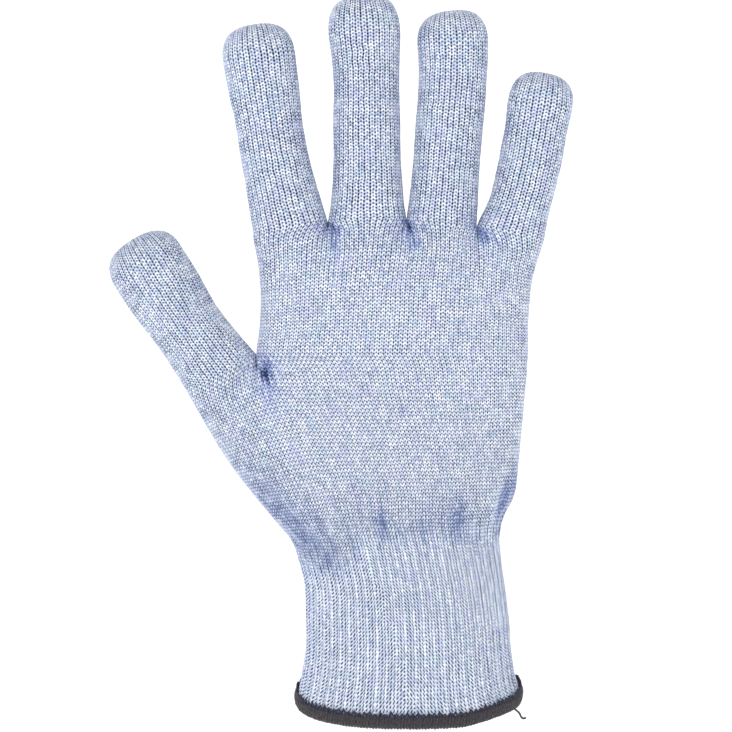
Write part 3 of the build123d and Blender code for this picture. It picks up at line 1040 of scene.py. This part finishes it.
ELASTIC_ROUNDS = 10
ELASTIC_LOW, ELASTIC_HIGH = 6.8, 35.2
cuff = shells["cuff"]
inside = cuff["base"] - normals_of(cuff["base"]) * (WALL + 0.25)
levels = cuff["base"][:, 0, 2]
first_thread = None
for number in range(ELASTIC_ROUNDS):
    level = ELASTIC_LOW + (ELASTIC_HIGH - ELASTIC_LOW) * number / (ELASTIC_ROUNDS - 1)
    row = inside[int(np.argmin(np.abs(levels - level)))][::6]
    ripple = 0.18 * np.cos(2 * np.pi * np.arange(len(row)) / 4)
    row = row + UP * ripple[:, None]
    thread = tube_ring(f"cuff_elastic_thread_{number + 1}", row, 0.4, elastic)
    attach(thread, "cuff")
    first_thread = first_thread or thread
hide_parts("cuff_elastic_threads")


# ---- overlocked hem

WRAPS = 200
WRAP_COLUMNS = 8
# the wrapped band's outline: how far out from the knit's surface, and how far above its middle
BAND_OUTLINE = [
    (0.55, 1.75), (0.95, 1.5), (1.18, 0.9), (1.22, 0.0), (1.05, -1.1), (0.60, -1.95), (-0.20, -2.3),
    (-1.10, -2.1), (-1.75, -1.3), (-1.95, 0.0), (-1.85, 1.1), (-1.45, 1.6), (-0.80, 1.75), (-0.20, 1.75),
]
CORD = 0.42             # how far each wrap's thread stands out
count = WRAPS * WRAP_COLUMNS
edge = cuff["base"][-1]
closed = np.vstack([edge, edge[:1]])
run = running(np.linalg.norm(np.diff(closed, axis=0), axis=1))


def along_edge(shares):
    """Places on the middle of the hem, by share of the way round, and the ways out from them."""
    place = (shares % 1) * run[-1]
    points = np.stack([np.interp(place, run, closed[:, i]) for i in range(3)], axis=-1)
    ahead = np.stack([np.interp((place + 0.6) % run[-1], run, closed[:, i]) for i in range(3)], axis=-1)
    return points, unit(np.cross(-UP, ahead - points))


dice = np.random.default_rng(7)
uneven = dice.uniform(-1, 1, (WRAPS, 2))
rows = []
shares = np.arange(count) / count
wrap = np.arange(count) // WRAP_COLUMNS
across = (np.arange(count) % WRAP_COLUMNS) / WRAP_COLUMNS
cord = CORD * (np.sin(np.pi * across) ** 0.7 - 0.6) + 0.09 * uneven[wrap, 0]
for out_step, rise in BAND_OUTLINE:
    slant = 0.45 * (rise / 2.3) / WRAPS
    points, out = along_edge(shares + slant)
    lift = 0.22 * uneven[wrap, 1] * (rise > 1.5)
    size = np.hypot(out_step, rise)
    rows.append(points + out * (out_step + cord * out_step / size)[:, None]
                + UP * (rise + cord * rise / size + lift)[:, None])
band = np.array(rows)
hem = mesh_object("hem_overlock_band", band.reshape(-1, 3), quads(index_of(band, closed=True)), hem_thread)
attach(hem, "cuff")
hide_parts("hem_overlock_band")

# the needle thread's stitches, which bite into the knit along the band's upper edge
STITCHES = 116
STEPS = 6               # points along one stitch
count = STITCHES * STEPS
points, out = along_edge(np.arange(count) / count)
phase = (np.arange(count) % STEPS) / STEPS
bite = 1 - np.abs(2 * phase - 1)
deep = 1 + 0.35 * dice.uniform(-1, 1, STITCHES)[np.arange(count) // STEPS]
path = points + out * (0.62 - 0.1 * bite)[:, None] + UP * (1.5 + 1.4 * bite * deep)[:, None]
needle = tube_ring("hem_needle_stitches", path, 0.33, needle_thread)
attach(needle, "cuff")

# the loose end of the overlock thread
TAIL = [
    (34.0, -11.2, 0.9), (35.6, -11.4, -0.4), (36.3, -11.5, -1.7), (37.0, -11.5, -2.3), (38.1, -11.4, -2.0),
]
shares = np.linspace(0, len(TAIL) - 1, 41)
path = np.stack([through(list(enumerate(values)))(shares) for values in zip(*TAIL)], axis=-1)
tail = tube_line("hem_thread_tail", path, 0.32, hem_thread, 12, 0.16, 3.0)
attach(tail, "cuff")
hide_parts("hem_thread_tail")


# ---- studio

CAMERA = (-14.7, -750.0, 113.6)
VIEW_HEIGHT = 244.5
SENSOR = 36.0
FLOOR = -210.0
STUDIO = 3000.0

lens = bpy.data.cameras.new("camera")
lens.sensor_width = SENSOR
lens.lens = SENSOR * -CAMERA[1] / VIEW_HEIGHT
lens.clip_end = 20
camera = bpy.data.objects.new("camera", lens)
camera.location = [value * MM for value in CAMERA]
camera.rotation_euler = (math.pi / 2, 0, 0)
bpy.context.scene.collection.objects.link(camera)
bpy.context.scene.camera = camera

# a pale floor that curves up to a wall all round
profile = [
    (0.01, 0.0), (0.35, 0.0), (0.7, 0.0), (0.82, 0.02), (0.92, 0.09), (0.98, 0.22), (1.0, 0.4), (1.0, 0.75),
]
turns = 96
angles = 2 * np.pi * np.arange(turns) / turns
bowl = np.array([[(r * STUDIO * math.cos(a), r * STUDIO * math.sin(a), FLOOR + h * STUDIO) for a in angles]
                 for r, h in profile])
pale = Sheet("studio_floor")
pale.settings({"Base Color": (0.93, 0.93, 0.93, 1), "Roughness": 0.9,
               "Emission Color": (1, 1, 1, 1), "Emission Strength": 0.42})
floor = mesh_object("studio_floor", bowl.reshape(-1, 3), quads(index_of(bowl)), pale.material)

world = bpy.data.worlds.new("studio")
world.use_nodes = True
sky = world.node_tree.nodes["Background"]
sky.inputs["Color"].default_value = (1.0, 1.0, 1.0, 1.0)
sky.inputs["Strength"].default_value = 0.36
bpy.context.scene.world = world
bpy.context.scene.view_settings.view_transform = "Standard"

# place and power of each softbox, all aimed at the middle of the hand
SOFTBOXES = [((-800, -900, 850), 5.4), ((900, -700, 500), 1.6), ((0, 1000, 900), 2.4)]
SOFTBOX_SIZE = 900.0
target = np.array([-10.0, 0.0, 115.0])
for number, (place, power) in enumerate(SOFTBOXES):
    light = bpy.data.lights.new(f"softbox_{number + 1}", "AREA")
    light.shape = "SQUARE"
    light.size = SOFTBOX_SIZE * MM
    light.energy = power
    lamp = bpy.data.objects.new(light.name, light)
    lamp.location = [value * MM for value in place]
    away = np.array(place) - target
    tip = math.atan2(math.hypot(away[0], away[1]), away[2])
    lamp.rotation_euler = (tip, 0, math.atan2(away[1], away[0]) + math.pi / 2)
    bpy.context.scene.collection.objects.link(lamp)
